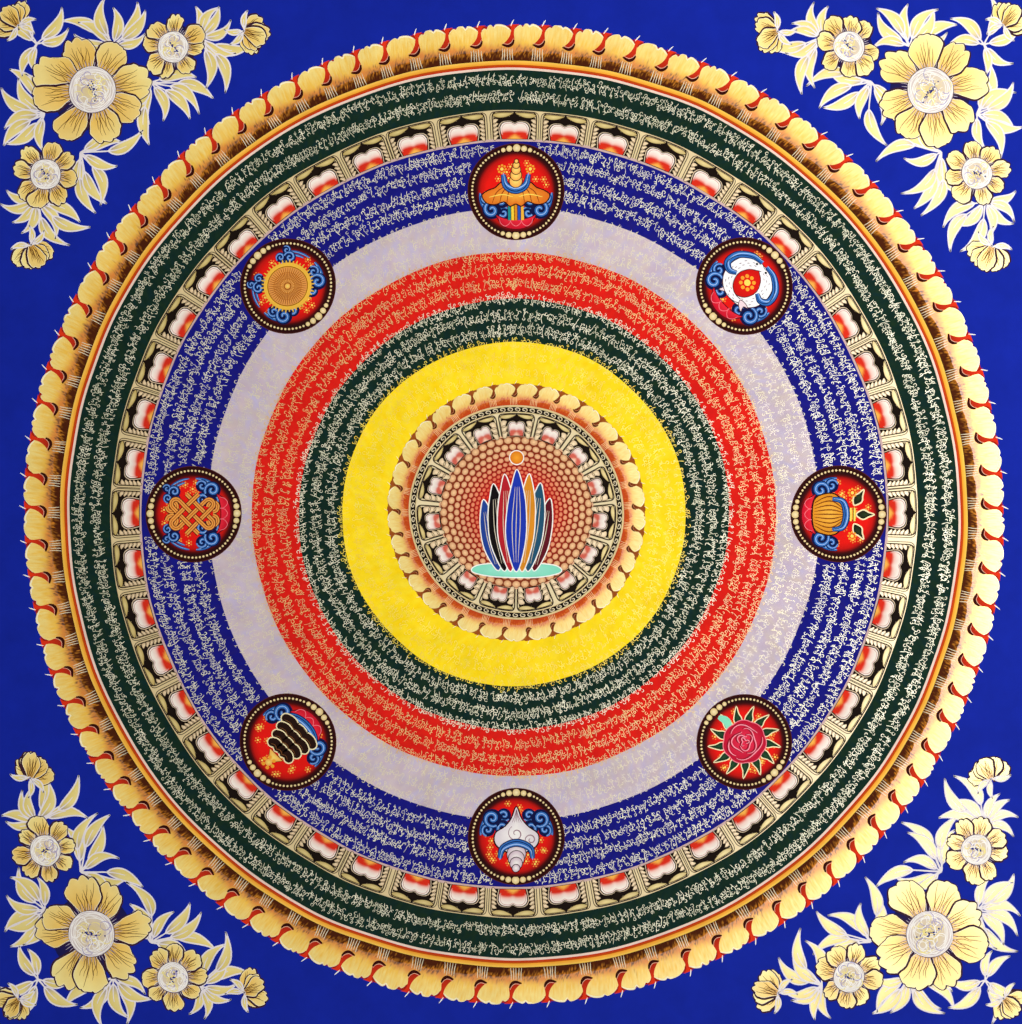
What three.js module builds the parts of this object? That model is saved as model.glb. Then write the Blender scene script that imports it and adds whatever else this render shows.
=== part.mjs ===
// A square painted cotton canvas, the picture of a scroll painting, lying flat on its back.
// Millimetres, +Z up. The painted face looks up, and the picture's top edge is towards +Y.
// The origin is at the middle of the back, on the surface that the canvas lies on.

import * as THREE from 'three';

// Driving dimensions
const SIDE = 700; // each edge of the square canvas
const THICKNESS = 1.2; // woven cotton, chalk ground and paint together
const CORNER_RADIUS = 2; // the cut corners are worn a little round
const CORNER_FACETS = 8; // facets around each worn corner

// The painted face reads as a deep mineral blue, dry and matte
const CANVAS_FINISH = { color: 0x1c2ba6, roughness: 0.75, metalness: 0 };

// The outline of the cut sheet, seen from above: four straight edges joined by worn corners
function sheetOutline(side, radius) {
  const corner = side / 2 - radius; // arc centres lie this far from the middle
  const outline = new THREE.Shape();
  outline.absarc(corner, corner, radius, 0, Math.PI / 2);
  outline.absarc(-corner, corner, radius, Math.PI / 2, Math.PI);
  outline.absarc(-corner, -corner, radius, Math.PI, (3 * Math.PI) / 2);
  outline.absarc(corner, -corner, radius, (3 * Math.PI) / 2, 2 * Math.PI);
  outline.closePath();
  return outline;
}

// The canvas is one cut piece of cloth, so it is one flat solid
function paintedCanvas() {
  const geometry = new THREE.ExtrudeGeometry(sheetOutline(SIDE, CORNER_RADIUS), {
    depth: THICKNESS,
    steps: 1,
    bevelEnabled: false,
    curveSegments: CORNER_FACETS / 2, // an arc is cut into two facets for each segment
  });
  const mesh = new THREE.Mesh(geometry, new THREE.MeshStandardMaterial(CANVAS_FINISH));
  mesh.name = 'painted_canvas';
  return mesh;
}

const painting = new THREE.Group();
painting.add(paintedCanvas());

export default painting;
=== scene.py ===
"""Looks of a square scroll painting lying face up: a primed cotton canvas painted with a round mandala.

The cloth is one closed sheet. The paintwork is flat films of colour laid on its face, coat over coat.
All drawing is in millimetres on the picture, x to the right and y up, from the middle of the canvas.
Angles round the mandala run clockwise from the top. A coat is a height, counted in brushed layers.
"""

import math
from types import SimpleNamespace

import bpy
import numpy as np
from mathutils.geometry import tessellate_polygon
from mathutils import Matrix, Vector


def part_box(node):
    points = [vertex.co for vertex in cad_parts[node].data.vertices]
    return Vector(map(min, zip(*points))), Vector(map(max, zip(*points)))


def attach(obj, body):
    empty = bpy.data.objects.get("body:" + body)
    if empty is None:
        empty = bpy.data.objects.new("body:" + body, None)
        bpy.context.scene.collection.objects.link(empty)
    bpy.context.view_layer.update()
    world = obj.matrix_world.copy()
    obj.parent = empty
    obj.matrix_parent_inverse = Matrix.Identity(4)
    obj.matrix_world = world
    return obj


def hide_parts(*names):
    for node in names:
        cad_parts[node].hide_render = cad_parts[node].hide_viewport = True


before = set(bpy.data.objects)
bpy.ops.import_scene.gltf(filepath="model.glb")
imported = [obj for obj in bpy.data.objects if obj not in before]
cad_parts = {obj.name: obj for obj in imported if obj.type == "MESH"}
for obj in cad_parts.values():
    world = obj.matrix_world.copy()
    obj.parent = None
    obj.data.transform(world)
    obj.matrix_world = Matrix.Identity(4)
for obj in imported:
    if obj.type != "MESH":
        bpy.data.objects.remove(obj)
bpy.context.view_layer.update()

# The canvas
MM = 0.001
CANVAS_LOW, CANVAS_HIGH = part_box("painted_canvas")
SIDE = (CANVAS_HIGH.x - CANVAS_LOW.x) / MM
HALF = SIDE / 2
THICKNESS = (CANVAS_HIGH.z - CANVAS_LOW.z) / MM
PAINT_DEPTH = 0.3  # room for all coats together
CLOTH_FACE = THICKNESS - PAINT_DEPTH  # the primed face, above the back
COAT = 0.02  # one coat of paint
CORNER_RADIUS = 2.0
EDGE_ROUNDING = 0.25  # the cut edge is worn round by this much
PAINT_REACH = HALF - 0.4  # a little bare ground is left along the cut edge
FACE_WEAVE = 0.55  # thread pitch that shows through the paint
BACK_WEAVE = 0.8  # thread pitch of the bare back
SLIVER = 1e-7  # a triangle is dropped when twice its area is less than this
TURN = 2 * np.pi  # once round, in radians

# The camera looks straight down on the middle of the canvas
VIEW_WIDTH = 695.0  # of the canvas, across the picture
CAMERA_HEIGHT = 2400.0
SENSOR_WIDTH = 36.0

# Lights in metres and watts: place, size, power, and whether it lights the matte look or shows as gloss
LIGHTS = {
    "window": ((0.95, 0.4, 1.25), 0.9, 25.5, True),
    "fill_left": ((-1.8, 0.4, 2.2), 1.6, 9.8, True),
    "glare": ((0.86, -0.1, 2.3), 0.7, 38.0, False),
}
ROOM_COLOUR = (0.9, 0.93, 1.0, 1)
ROOM_STRENGTH = 0.275
FLOOR_REACH = 10.0  # metres
FLOOR_DROP = 0.0002  # metres, so that the floor clears the back

# The mandala sits a little right of and below the middle. Radii of its rings, from the outside in
CENTRE = np.array([2.0, -1.4])
PETAL_TIP = 333.2
PETAL_FOOT = 308.4
PETAL_HEIGHT = PETAL_TIP - PETAL_FOOT  # petals are drawn at this size
GOLD_LINE = 305.6
RED_LINE = 303.6
GREEN_RIM = 302.0
PANEL_RIM = 274.4
PANEL_FOOT = 255.0
BLUE_RIM = 253.4
LAVENDER_RIM = 208.1
RED_RIM = 178.2
INNER_GREEN_RIM = 146.2
YELLOW_RIM = 117.0

# The roundel inside the yellow ring has a middle of its own
ROUNDEL = np.array([3.7, -0.1])
INNER_TIP = 88.0
INNER_FOOT = 73.2
CHAIN_RIM = 72.4
INNER_PANEL_RIM = 68.2
INNER_PANEL_FOOT = 52.2
BEAD_RIM = 51.4
BEAD_OUTER = 49.0  # the outermost ring of beads
BEAD_STEP = 0.905  # each ring of beads lies this much nearer the middle than the last

# How many of each
PETALS = 90
PANELS = 48
INNER_PETALS = 33
INNER_PANELS = 15
CHAIN_CURLS = 88
BEAD_RINGS = 20
BEADS = 52
MEDALLIONS = 8
ROSETTES = 34  # small flowers strewn over each medallion
FLOWER_PETALS = 8

# The medallions
MEDALLION_CENTRE = CENTRE + (1.5, 0.0)
MEDALLION_RING = 219.3
MEDALLION_RADIUS = 32.8
PICTURE_RADIUS = 26.3

# Bands of pen strokes by ground: radii of the rows, the two colours that a stroke lies between, the pitch
PEN_BANDS = {
    "green": ((295.6, 283.4), ("#EFE8C8", "#CCC8A4"), 3.8),
    "blue": ((248.2, 238.0, 227.8, 217.6), ("#EFE8C8", "#D2CABC"), 3.9),
    "lavender": ((205.4, 195.6, 185.6), ("#DCD0A4", "#CFC0B4"), 4.6),
    "red": ((176.8, 166.8, 156.6), ("#E2BC6C", "#CFA268"), 4.0),
    "inner_green": ((145.8, 135.4, 125.2), ("#EFE8C8", "#CCC8A4"), 3.8),
    "yellow": ((116.4, 106.8, 97.2), ("#F6DA48", "#F4C81C"), 4.8),
}

# Corner sprays: places from the canvas corner along its two edges
SPRAY_CORNERS = {"top_left": (-1, 1), "top_right": (1, 1), "bottom_left": (-1, -1), "bottom_right": (1, -1)}
BIG_FLOWER = (65.0, 63.0)
SMALL_FLOWER = (120.0, 33.4)
BUD = (169.0, 23.0)
CORNER_BUD = (15.0, 19.0)

# Leaves by the foot of their stems; a leaf is a heading in degrees and a length
CORNER_STEM = (28.0, 32.0)
CORNER_LEAVES = [(-114, 31), (-45, 31), (-12, 24), (-154, 27), (132, 25), (103, 21)]
SIDE_LEAVES = {
    (79.3, 33): [(-153, 37), (-168, 29), (-130, 30), (-112, 33), (-80, 28), (-56, 34), (-39, 32), (-10, 24)],
    (105.5, 57.5): [(-10, 31), (2, 42), (19, 41), (38, 36), (60, 27), (108, 30), (95, 43), (125, 24)],
    (138.5, 27.7): [(-99, 22), (-67, 24), (-40, 24), (-15, 24), (18, 37), (36, 28), (73, 33), (54, 42)],
}
LEAF_BLADE = 25.0  # the longest blade; a longer leaf has a longer stalk


# Colours are hex codes, or arrays of linear colours once they are mixed
def ink(colour):
    """A colour, or a row of colours for lines one by one, as linear light."""
    if isinstance(colour, np.ndarray):
        return colour
    if not isinstance(colour, str):
        return np.array([ink(each) for each in colour])[:, None]
    channel = np.array([int(colour[i : i + 2], 16) for i in (1, 3, 5)]) / 255
    return np.where(channel <= 0.04045, channel / 12.92, ((channel + 0.055) / 1.055) ** 2.4)


def mix(a, b, share):
    """Colour a turning to b as share goes from 0 to 1, also for arrays of shares."""
    share = np.clip(np.asarray(share, float), 0, 1)[..., None]
    return ink(a) * (1 - share) + ink(b) * share


ULTRAMARINE = "#102394"
DARK_GREENS = ("#0C251C", "#0C2828", "#182E1A")
ROYAL_BLUES = ("#111274", "#151880", "#1C166C")
LAVENDERS = ("#C4AEBA", "#C9BCBE", "#BDB2CE", "#CDB9AE")
REDS = ("#D81812", "#CE1E14", "#E02012")
YELLOWS = ("#FDDA16", "#FBDE38", "#FDD20C")
PANEL_CREAM = "#D8BF88"
PANEL_LINE = "#2E1D10"
WHITE = "#F7F1E6"
BLACK = "#0B0A08"
SOOT = "#170D07"
MAROON = "#2A0909"
LEAF_YELLOW = "#F2DC86"
LEAF_KHAKI = "#E2C65C"
LEAF_EDGE = "#EAE0DE"
LEAF_SHADE = "#7E6E92"
PETAL_SHADE = "#3B1F2A"
CLOUD_BLUE = "#2F68B0"
CLOUD_PALE = "#98B8E6"
NAVY = "#0C1240"
LACQUER = "#E3170F"
AMBER = "#F2A02E"
LEMON = "#F8D95C"
BEAD = "#F4E2AE"

# Petals: colours, the width of the hair, how far and how sharply the rim drops, and how slim the hook is
OUTER_PETAL_LOOKS = SimpleNamespace(
    rim="#F9DA78", body="#F5BE36", warm="#E0801F", glow="#D28428", shade="#481C06", gap="#A01C0A",
    hook="#DC3214", heart="#AE2810", dark="#340C05", line="#F4DCA8", light="#FBEDC0",
    comb="#E6D8B4", glint="#E8B090", hair=0.75, round=(6.2, 3.0), slim=0.9,
)
INNER_PETAL_LOOKS = SimpleNamespace(
    rim="#EFD57C", body="#EABE50", warm="#DE8E38", glow="#E07C2E", shade="#BE4418", gap="#9A5218",
    hook="#9A4A1C", heart="#6A2A10", dark="#5A2410", line="#D9A848", light="#F8EEC4",
    comb="#F0D096", glint="#D9905A", hair=0.4, round=(8.0, 2.6), slim=0.7,
)

# Lotus panels: how wide the tooth is, its colours from the top down, the frame lines and the claws a side
OUTER_PANEL_LOOKS = SimpleNamespace(
    pale="#F2E4D4", blush="#EDAB98", flush="#D62C18", glow="#F3AE4A",
    half=0.5, lines=((0.95, 0.5), (0.86, 0.8)), claws=(5, 0.63),
)
INNER_PANEL_LOOKS = SimpleNamespace(
    pale="#EFE3D4", blush="#E6C0B2", flush="#D0604E", glow="#EFC0A0",
    half=0.38, lines=((0.9, 0.8),), claws=(3, 0.5),
)


# Where drawing coordinates land on the picture
def about(x, y, turn=0.0, size=1.0):
    """Local coordinates turned anticlockwise by turn radians, sized and set down at (x, y)."""
    axes = np.multiply(size, [[math.cos(turn), math.sin(turn)], [-math.sin(turn), math.cos(turn)]])
    return lambda points: points @ axes + (x, y)


def compass(turn):
    """Unit steps outward at angles clockwise from the top."""
    return np.column_stack([np.sin(turn), np.cos(turn)])


def around(angle, radius, centre=CENTRE):
    """Local coordinates bent round a ring: x clockwise along it, y outward from it."""
    return lambda points: centre + (radius + points[:, 1:]) * compass(angle + points[:, 0] / radius)


def within(outer, inner):
    """The inner placing, then the outer one."""
    return lambda points: outer(inner(points))


def corner(side_x, side_y):
    """Distances from one corner of the canvas along its two edges."""
    return lambda points: (side_x, side_y) * (HALF - points)


def hand_drift(points):
    """The slow wander of a hand-drawn line, a few tenths of a millimetre."""
    x, y = points.T
    along = 0.32 * np.sin(x / 21 + 1.7 * np.sin(y / 37)) + 0.2 * np.sin(y / 9.5 + x / 31)
    across = 0.32 * np.sin(y / 19 + 1.9 * np.sin(x / 41)) + 0.2 * np.sin(x / 10.5 - y / 27)
    return points + np.column_stack([along, across])


# Lines and outlines
def curve(points, steps=6, closed=False):
    """A smooth line through a few points."""
    p = np.asarray(points, float)
    ends = (p[-1:], p[:2]) if closed else (2 * p[:1] - p[1:2], 2 * p[-1:] - p[-2:-1])
    p = np.concatenate([ends[0], p, ends[1]])
    t = np.linspace(0, 1, steps, endpoint=False)[:, None]
    line = []
    for a, b, c, d in zip(p[:-3], p[1:-2], p[2:-1], p[3:]):
        line.append(b + 0.5 * t * (c - a + t * (2 * a - 5 * b + 4 * c - d + t * (3 * (b - c) + d - a))))
    if not closed:
        line.append(p[-2:-1])
    return np.concatenate(line)


def arc(radius, start, end, steps=12, at=(0, 0)):
    """Points on a circle, or on a spiral of many radii, by degrees anticlockwise from +x."""
    turn = np.radians(np.linspace(start, end, steps))
    return np.column_stack([at[0] + radius * np.cos(turn), at[1] + radius * np.sin(turn)])


def circle(radius, sides, at=(0, 0)):
    """Points evenly round a whole circle."""
    return arc(radius, 0, 360 - 360 / sides, sides, at)


def mirrored(points):
    """A line carried on by its mirror image across the y axis; an end on the axis isn't doubled."""
    line = np.asarray(points, float)
    back = (line * (-1, 1))[::-1]
    return np.concatenate([line, back[1:] if line[-1, 0] == 0 else back])


def outer_edge(lines):
    """Up the left ends of the lines of a filled shape, along the last one and down the right ends."""
    return np.concatenate([lines[:, 0], lines[-1, 1:], lines[::-1, -1][1:]])


def uneven(count, loose, drift, rng):
    """Angles of marks set round a circle by eye: off their even places, closer here and wider there."""
    even = TURN * np.arange(count) / count
    return even + drift * np.sin(3 * even - 2.9) + TURN / count * rng.uniform(-loose, loose, count)


# Materials
def new_material(name, rough, metal=0.0, shine=0.5):
    """A material with the values that are the same all over, its node tree and its shader."""
    material = bpy.data.materials.new(name)
    material.use_nodes = True
    shader = material.node_tree.nodes["Principled BSDF"]
    shader.inputs["Roughness"].default_value = rough
    shader.inputs["Metallic"].default_value = metal
    shader.inputs["Specular IOR Level"].default_value = shine
    return material, material.node_tree, shader


def add_node(tree, kind, inputs=None, **settings):
    """A node with its settings made and its inputs filled or linked."""
    node = tree.nodes.new(kind)
    for name, value in settings.items():
        setattr(node, name, value)
    for name, value in (inputs or {}).items():
        if isinstance(value, bpy.types.NodeSocket):
            tree.links.new(value, node.inputs[name])
        else:
            node.inputs[name].default_value = value
    return node


def maths(tree, operation, *values):
    return add_node(tree, "ShaderNodeMath", dict(enumerate(values)), operation=operation).outputs[0]


def object_place(tree):
    return add_node(tree, "ShaderNodeTexCoord").outputs["Object"]


def noise(tree, place, scale, detail, rough=0.5):
    settings = {"Vector": place, "Scale": scale, "Detail": detail, "Roughness": rough}
    return add_node(tree, "ShaderNodeTexNoise", settings).outputs["Fac"]


def add_bump(tree, shader, height, strength, distance):
    bump = add_node(tree, "ShaderNodeBump", {"Height": height, "Strength": strength, "Distance": distance})
    tree.links.new(bump.outputs[0], shader.inputs["Normal"])


def weave_height(tree, place, pitch):
    """Plain weave: the over and under of threads that lie pitch millimetres apart."""
    parts = add_node(tree, "ShaderNodeSeparateXYZ", {"Vector": place}).outputs
    scale = math.pi / (pitch * MM)
    warp, weft = (maths(tree, "SINE", maths(tree, "MULTIPLY", parts[axis], scale)) for axis in ("X", "Y"))
    return maths(tree, "MULTIPLY", warp, weft)


def paint_material(name, rough, metal, shine, depth):
    """Brushed pigment: the film's own colours, lighter and darker by depth, over a fine weave."""
    material, tree, shader = new_material(name, rough, metal, shine)
    place = object_place(tree)
    colour = add_node(tree, "ShaderNodeAttribute", attribute_name="paint").outputs["Color"]
    spread = {"From Min": 0.25, "From Max": 0.75, "To Min": 1 - depth, "To Max": 1 + depth}
    cloudy = noise(tree, place, scale=42.0, detail=6.0, rough=0.65)
    share = add_node(tree, "ShaderNodeMapRange", {"Value": cloudy, **spread}).outputs[0]
    brushed = add_node(tree, "ShaderNodeVectorMath", {0: colour, "Scale": share}, operation="SCALE")
    tree.links.new(brushed.outputs[0], shader.inputs["Base Color"])
    grain = noise(tree, place, scale=900.0, detail=3.0)
    relief = maths(tree, "MULTIPLY_ADD", weave_height(tree, place, FACE_WEAVE), 0.35, grain)
    add_bump(tree, shader, relief, strength=0.12, distance=0.0002)
    return material


def cotton_material():
    """Raw cotton: off-white threads with the shadow of the weave between them."""
    material, tree, shader = new_material("raw_cotton", 0.9)
    place = object_place(tree)
    threads = weave_height(tree, place, BACK_WEAVE)
    slubs = noise(tree, place, scale=14.0, detail=5.0)
    shade = maths(tree, "MULTIPLY_ADD", threads, 0.16, slubs)
    ramp = add_node(tree, "ShaderNodeValToRGB", {"Fac": shade})
    for stop, position, code in zip(ramp.color_ramp.elements, (0.25, 0.75), ("#B7A583", "#E4D9BF")):
        stop.position = position
        stop.color = (*ink(code), 1)
    tree.links.new(ramp.outputs["Color"], shader.inputs["Base Color"])
    add_bump(tree, shader, threads, strength=0.5, distance=0.0003)
    return material


def floor_material():
    material, _, shader = new_material("pale_floor", 0.8)
    shader.inputs["Base Color"].default_value = (*ink("#D9D7D2"), 1)
    return material


MINERAL_PAINT = paint_material("mineral_paint", rough=0.65, metal=0.0, shine=0.05, depth=0.12)
GOLD_PAINT = paint_material("gold_paint", rough=0.33, metal=0.1, shine=0.8, depth=0.1)


def add_object(name, data):
    made = bpy.data.objects.new(name, data)
    bpy.context.collection.objects.link(made)
    return made


def add_piece(name, mesh):
    """A mesh as a piece that rides on the canvas."""
    piece = add_object(name, mesh)
    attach(piece, "root")
    return piece


# Paintwork
class Film:
    """Flat triangles of paint, each point with its own colour, at a height counted in coats."""

    def __init__(self, name):
        self.name = name
        self.points, self.heights, self.tints, self.faces, self.gilt = [], [], [], [], []
        self.count = 0
        self.place = about(0, 0)
        self.lift = 0.0

    def at(self, place):
        """Draws the next shapes at another place."""
        self.place = place

    def settle(self, points):
        return self.place(np.asarray(points, float).reshape(-1, 2))

    def lay(self, points, tints, faces, coat, gilt):
        """Adds triangles whose points are already on the picture."""
        self.points.append(points)
        self.tints.append(np.broadcast_to(ink(tints), (len(points), 3)))
        self.heights.append(np.full(len(points), coat + self.lift))
        self.faces.append(np.asarray(faces, int) + self.count)
        self.gilt.append(np.full(len(faces), gilt))
        self.count += len(points)

    def rows(self, lines, tints, coat, closed=False, gilt=False, settled=False):
        """Fills between successive lines of points, in one colour, a colour a line or a colour a point."""
        lines = np.asarray(lines, float)
        many, long = lines.shape[:2]
        grid = np.arange(many * long).reshape(many, long)
        if closed:
            grid = np.concatenate([grid, grid[:, :1]], axis=1)
        a, b, c, d = grid[:-1, :-1], grid[:-1, 1:], grid[1:, 1:], grid[1:, :-1]
        faces = np.stack([a, b, c, a, c, d], -1).reshape(-1, 3)
        points = lines.reshape(-1, 2)
        tints = np.broadcast_to(ink(tints), (many, long, 3)).reshape(-1, 3)
        self.lay(points if settled else self.settle(points), tints, faces, coat, gilt)

    def fan(self, outline, rim, coat, heart=None, middle=None, gilt=False):
        """Fills an outline from its middle, turning from the heart colour to the rim colour."""
        outline = np.asarray(outline, float)
        middle = outline.mean(0) if middle is None else np.asarray(middle, float)
        n = len(outline)
        ring = np.arange(n)
        faces = np.column_stack([ring, np.roll(ring, -1), np.full(n, n)])
        tints = np.vstack([np.broadcast_to(ink(rim), (n, 3)), ink(rim if heart is None else heart)])
        self.lay(self.settle(np.vstack([outline, middle])), tints, faces, coat, gilt)

    def fill(self, outline, tint, coat):
        """Fills any simple outline with one colour."""
        outline = self.settle(outline)
        faces = tessellate_polygon([[(x, y, 0.0) for x, y in outline]])
        self.lay(outline, tint, faces, coat, False)

    def disc(self, at, radius, tint, coat, rim=None, sides=10, gilt=False):
        self.fan(circle(radius, sides, at), tint if rim is None else rim, coat, tint, at, gilt)

    def dots(self, spots, radius, tint, coat, rim=None, sides=8):
        for spot in spots:
            self.disc(spot, radius, tint, coat, rim, sides)

    def stroke(self, line, width, tint, coat, closed=False, gilt=False):
        """A brush line; its width in millimetres may change from point to point."""
        line = self.settle(line)
        along = np.roll(line, -1, 0) - np.roll(line, 1, 0) if closed else np.gradient(line, axis=0)
        along /= np.maximum(np.linalg.norm(along, axis=1, keepdims=True), 1e-9)
        half = np.broadcast_to(np.asarray(width, float) / 2, len(line))[:, None]
        across = np.column_stack([-along[:, 1], along[:, 0]]) * half
        self.rows([line - across, line + across], tint, coat, closed, gilt, settled=True)

    def brush(self, line, width, tint, coat, thin=0.25, gilt=False):
        """A brush line that starts and ends thin."""
        swell = thin + (1 - thin) * np.sin(np.linspace(0.12, np.pi - 0.12, len(line))) ** 0.7
        self.stroke(line, width * swell, tint, coat, gilt=gilt)

    def outlined(self, outline, inside, line, width, coat, heart=None, gilt=False):
        """A filled shape with a drawn edge."""
        self.fan(outline, inside, coat, heart, gilt=gilt)
        self.stroke(outline, width, line, coat + 0.1, closed=True)

    def rings(self, radii, tints, coat, centre=CENTRE, sides=360, gilt=False):
        """Flat rings about one middle, each radius with its own colour."""
        way = compass(np.linspace(0, TURN, sides, endpoint=False))
        lines = [centre + radius * way for radius in radii]
        self.rows(lines, tints, coat, True, gilt, settled=True)

    def ring(self, outer, inner, tint, coat, inside=None, gilt=False, centre=CENTRE):
        """A flat ring of the mandala, turning from tint to inside towards the middle."""
        self.rings((inner, outer), (tint if inside is None else inside, tint), coat, centre, gilt=gilt)

    def triangles(self, points, heights):
        """Faces turned upward, lowest coats first, and which of them are gilt."""
        faces = np.concatenate(self.faces)
        facing = np.linalg.det(points[faces[:, 1:]] - points[faces[:, :1]])
        faces[facing < 0] = faces[facing < 0][:, ::-1]
        kept = np.flatnonzero(np.abs(facing) > SLIVER)
        kept = kept[np.argsort(heights[faces[kept]].min(1), kind="stable")]
        return faces[kept], np.concatenate(self.gilt)[kept]

    def piece(self):
        """The film as a mesh object, with its colours and a flat map for baking."""
        points = np.clip(hand_drift(np.concatenate(self.points)), -PAINT_REACH, PAINT_REACH)
        heights = np.concatenate(self.heights)
        faces, gilt = self.triangles(points, heights)
        solid = np.column_stack([points, CLOTH_FACE + COAT * (1 + heights)]) * MM
        mesh = bpy.data.meshes.new(self.name)
        mesh.from_pydata(solid.tolist(), [], faces.tolist())
        mesh.materials.append(MINERAL_PAINT)
        mesh.materials.append(GOLD_PAINT)
        mesh.polygons.foreach_set("material_index", gilt.astype(np.int32))
        tints = np.concatenate(self.tints)
        colours = np.column_stack([tints, np.ones(len(tints))])
        paint = mesh.color_attributes.new("paint", "FLOAT_COLOR", "POINT")
        paint.data.foreach_set("color", colours.astype(np.float32).ravel())
        flat = (points - points.min(0)) / np.ptp(points, axis=0).max()
        chart = mesh.uv_layers.new(name="OFBake")
        chart.data.foreach_set("uv", flat[faces.ravel()].astype(np.float32).ravel())
        return add_piece(self.name, mesh)


# The cloth
def sheet_ring(inset, height):
    """The cut outline with its worn corners, drawn in by inset."""
    middles = (HALF - CORNER_RADIUS) * np.array([(1, 1), (-1, 1), (-1, -1), (1, -1)])
    turns = [arc(CORNER_RADIUS - inset, 90 * k, 90 * k + 90, 7, middle) for k, middle in enumerate(middles)]
    outline = np.concatenate(turns)
    return np.column_stack([outline, np.full(len(outline), height)])


def canvas_sheet():
    """The primed cotton, one closed sheet with softened edges."""
    soft = EDGE_ROUNDING
    profile = ((soft, 0.0), (0.0, soft), (0.0, CLOTH_FACE - soft), (soft, CLOTH_FACE))
    rings = [sheet_ring(inset, height) for inset, height in profile]
    n = len(rings[0])
    faces = [tuple(range(n))[::-1], tuple(range(3 * n, 4 * n))]
    for i in range(3 * n):
        j = i // n * n + (i + 1) % n
        faces.append((i, j, j + n, i + n))
    mesh = bpy.data.meshes.new("canvas_sheet")
    mesh.from_pydata((np.concatenate(rings) * MM).tolist(), [], faces)
    mesh.materials.append(cotton_material())
    sheet = add_piece("canvas_sheet", mesh)
    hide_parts("painted_canvas")
    return sheet


# The field and the plain rings
def brushed_ring(film, outer, inner, tints, patch, rng):
    """A ring of uneven washes: patches of a few near colours, each about patch millimetres across."""
    many = max(4, int((outer - inner) / (0.5 * patch)))
    long = int(TURN * outer / (0.5 * patch))
    wash = tints[0]
    for tint in tints[1:]:
        wash = mix(wash, tint, 0.25 + 0.35 * rng.normal(0, 1, (many, long)))
    film.rings(np.linspace(inner, outer, many), wash, 1, sides=long)


def grounds():
    """The blue field and the plain rings on it."""
    rng = np.random.default_rng(4)
    film = Film("ring_grounds")
    across = np.linspace(-PAINT_REACH, PAINT_REACH, 41)
    film.rows(np.stack(np.meshgrid(across, across), -1), ULTRAMARINE, 0)
    film.ring(PETAL_FOOT, GOLD_LINE, "#F6C452", 1, "#EE9A28")
    film.ring(GOLD_LINE, RED_LINE, "#B9500F", 1, "#C4260F")
    film.ring(RED_LINE, GREEN_RIM, "#E9CDB8", 1)
    brushed_ring(film, GREEN_RIM, PANEL_RIM, DARK_GREENS, 5.0, rng)
    film.ring(PANEL_RIM, PANEL_FOOT, PANEL_CREAM, 1, gilt=True)
    film.ring(PANEL_FOOT, BLUE_RIM, "#C9A9A0", 1)
    brushed_ring(film, BLUE_RIM, LAVENDER_RIM, ROYAL_BLUES, 6.0, rng)
    brushed_ring(film, LAVENDER_RIM, RED_RIM, LAVENDERS, 7.0, rng)
    brushed_ring(film, RED_RIM, INNER_GREEN_RIM, REDS, 6.0, rng)
    brushed_ring(film, INNER_GREEN_RIM, YELLOW_RIM, DARK_GREENS, 5.0, rng)
    brushed_ring(film, YELLOW_RIM, INNER_FOOT, YELLOWS, 7.0, rng)
    return film


# Petal rings
def petal_ring(film, count, foot, tip, centre, looks, rng):
    """Petals side by side round a ring, each pair parted by a hook."""
    size = (tip - foot) / PETAL_HEIGHT
    starts = uneven(count, 0.03, 0.022, rng)
    ends = np.append(starts[1:], starts[0] + TURN)
    film.ring(tip - 0.6 * size, foot + 9 * size, looks.gap, 1.6, centre=centre)
    for start, end in zip(starts, ends):
        film.at(around(start, foot, centre))
        petal_body(film, (end - start) * foot, size, looks, rng)
    for start in starts:
        film.at(within(around(start, foot, centre), about(0, 0, size=size)))
        petal_hook(film, size, looks, rng)


def petal_body(film, width, size, looks, rng):
    """One petal: a round lobed rim in gold above, fading into stippled shade at the foot."""
    u = np.linspace(0, 1, 31)
    v = np.array([0, 0.07, 0.14, 0.2, 0.26, 0.31, 0.36, 0.42, 0.5, 0.62, 0.76, 0.9, 1.0])[:, None]
    drop, bend = looks.round
    top = PETAL_HEIGHT + 0.4 - drop * np.abs(2 * u - 1) ** bend
    for middle in (rng.uniform(0.42, 0.62), rng.uniform(0.2, 0.34))[: rng.integers(1, 3)]:
        top = top - rng.uniform(1.0, 2.3) * np.exp(-(((u - middle) / 0.045) ** 2))
    lines = np.stack([np.broadcast_to(u * width, (len(v), len(u))), v * top * size], -1)
    stipple = rng.normal(0, 1, (len(v), len(u)))
    shade = mix(looks.shade, looks.glow, 0.4 * stipple + np.abs(u - 0.42) + (v - 0.2) / 0.2)
    bright = mix(looks.body, looks.rim, (v - 0.45) / 0.5 + 0.3 * stipple)
    sides = 1.2 * np.exp(-u / 0.2) + 0.9 * np.exp(-(1 - u) / 0.14)
    bright = mix(bright, looks.warm, sides + (0.46 - v) / 0.25 + 0.15 * stipple)
    tints = mix(shade, bright, (v - 0.28) / 0.15 + 0.4 * stipple)
    gold = 5  # the gold paint starts at this line, counted from the foot
    film.rows(lines[:gold], tints[:gold], 2)
    film.rows(lines[gold - 1 :], tints[gold - 1 :], 2, gilt=True)
    film.stroke(lines[-1, 2:-1], 0.4 * size, looks.line, 2.4, gilt=True)
    film.brush(lines[-1, 13:28] - (0, 0.6 * size), size, looks.light, 2.5)


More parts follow.
